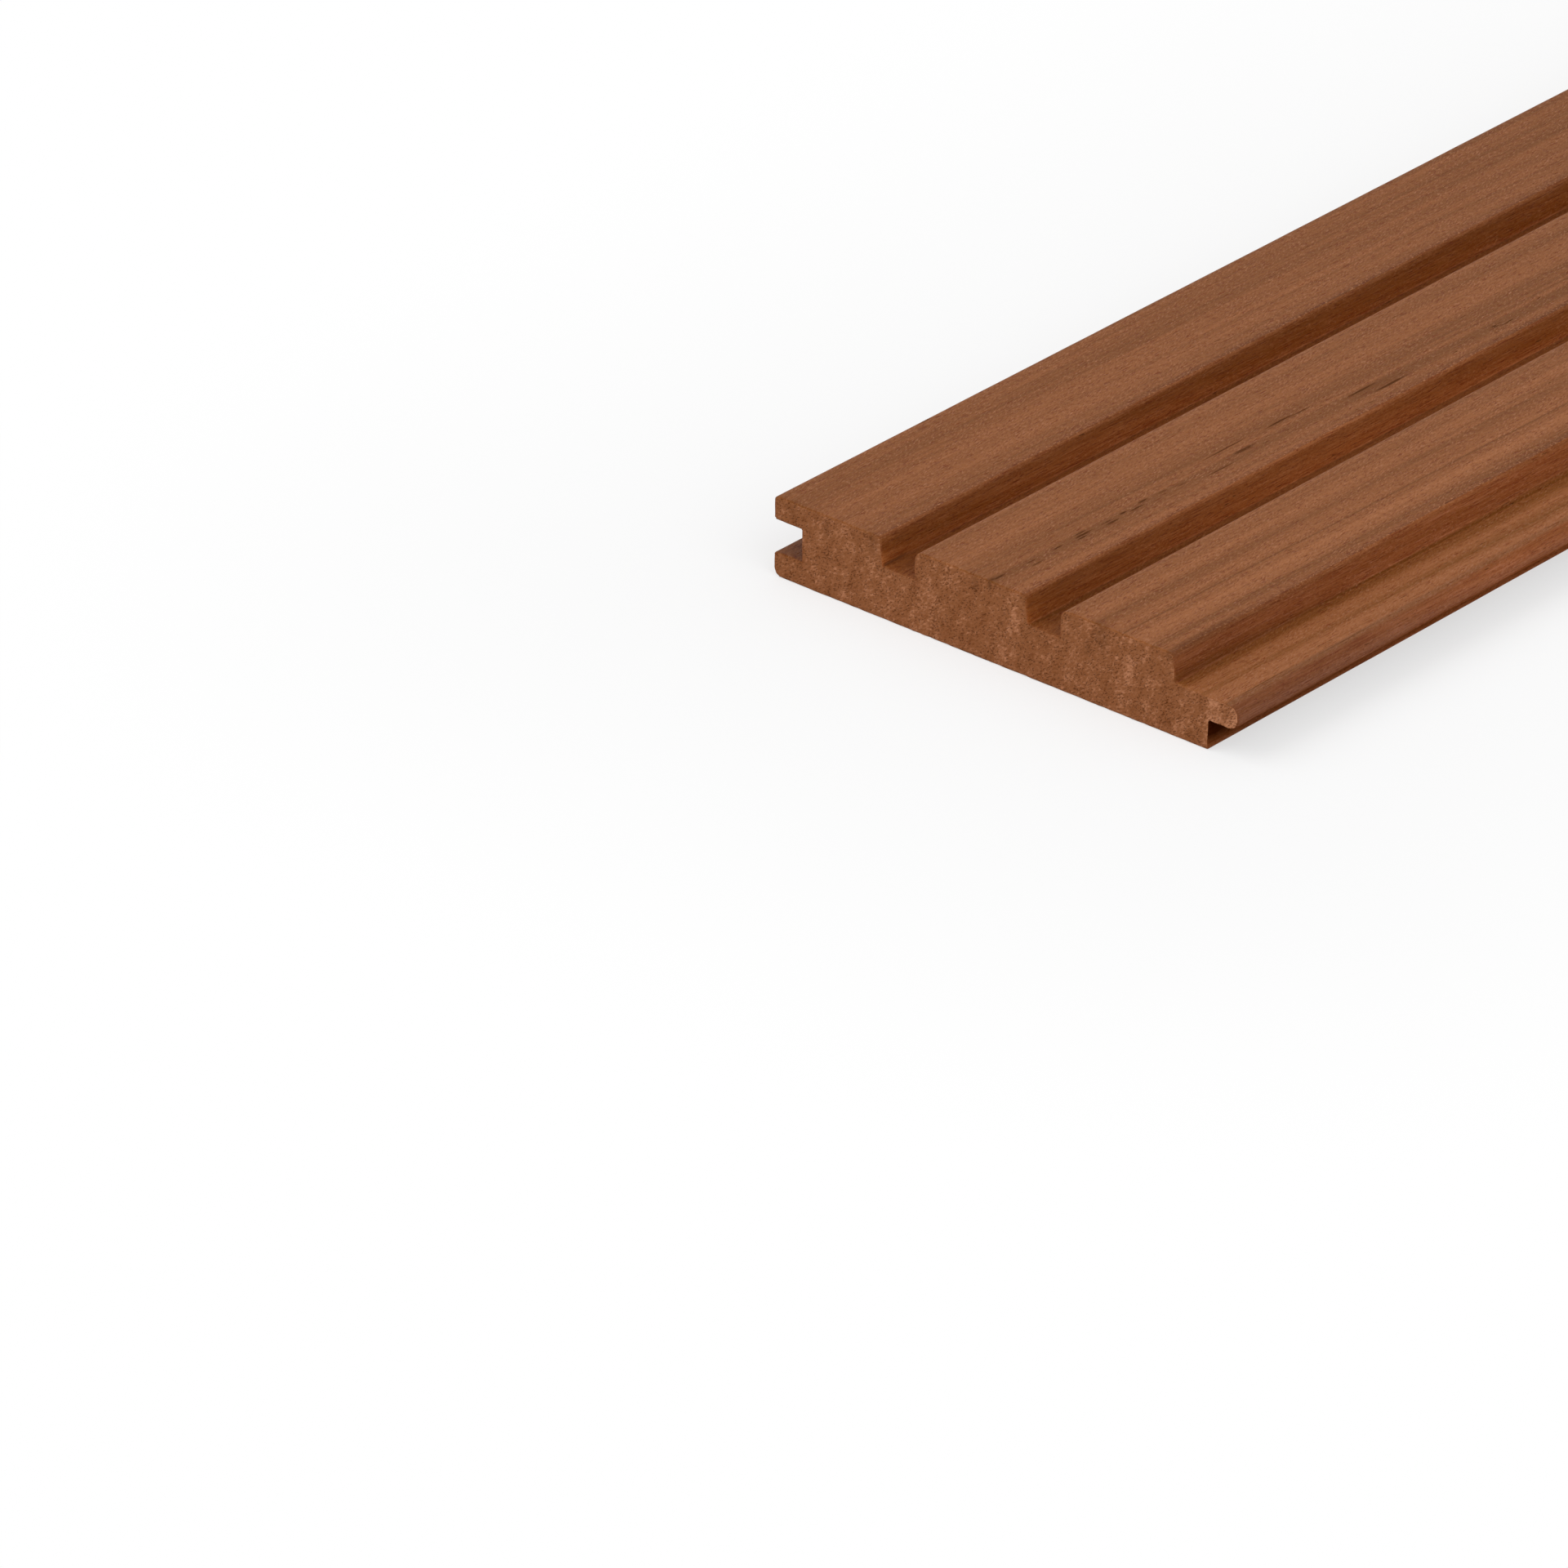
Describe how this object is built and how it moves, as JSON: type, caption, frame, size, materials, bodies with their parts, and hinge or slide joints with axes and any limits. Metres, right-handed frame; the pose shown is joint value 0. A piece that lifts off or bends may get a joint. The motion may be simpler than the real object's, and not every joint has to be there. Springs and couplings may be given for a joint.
{
  "type": "cladding board",
  "caption": "Timber cladding board with a ribbed face, a tongue along its lower edge and a matching groove along the upper one; boards interlock to cover a wall.",
  "frame": {"origin": "centre of the board's footprint on its back face, tongue included", "axes": "+X across the width towards the tongue, +Y along the length, +Z from the back to the ribbed face"},
  "size_m": [0.14, 1.85, 0.021],
  "materials": {
    "wood": "planed, bare, warm mid brown with fine straight grain"
  },
  "bodies": {
    "root": {"cladding_board": "wood"}
  },
  "joints": []
}
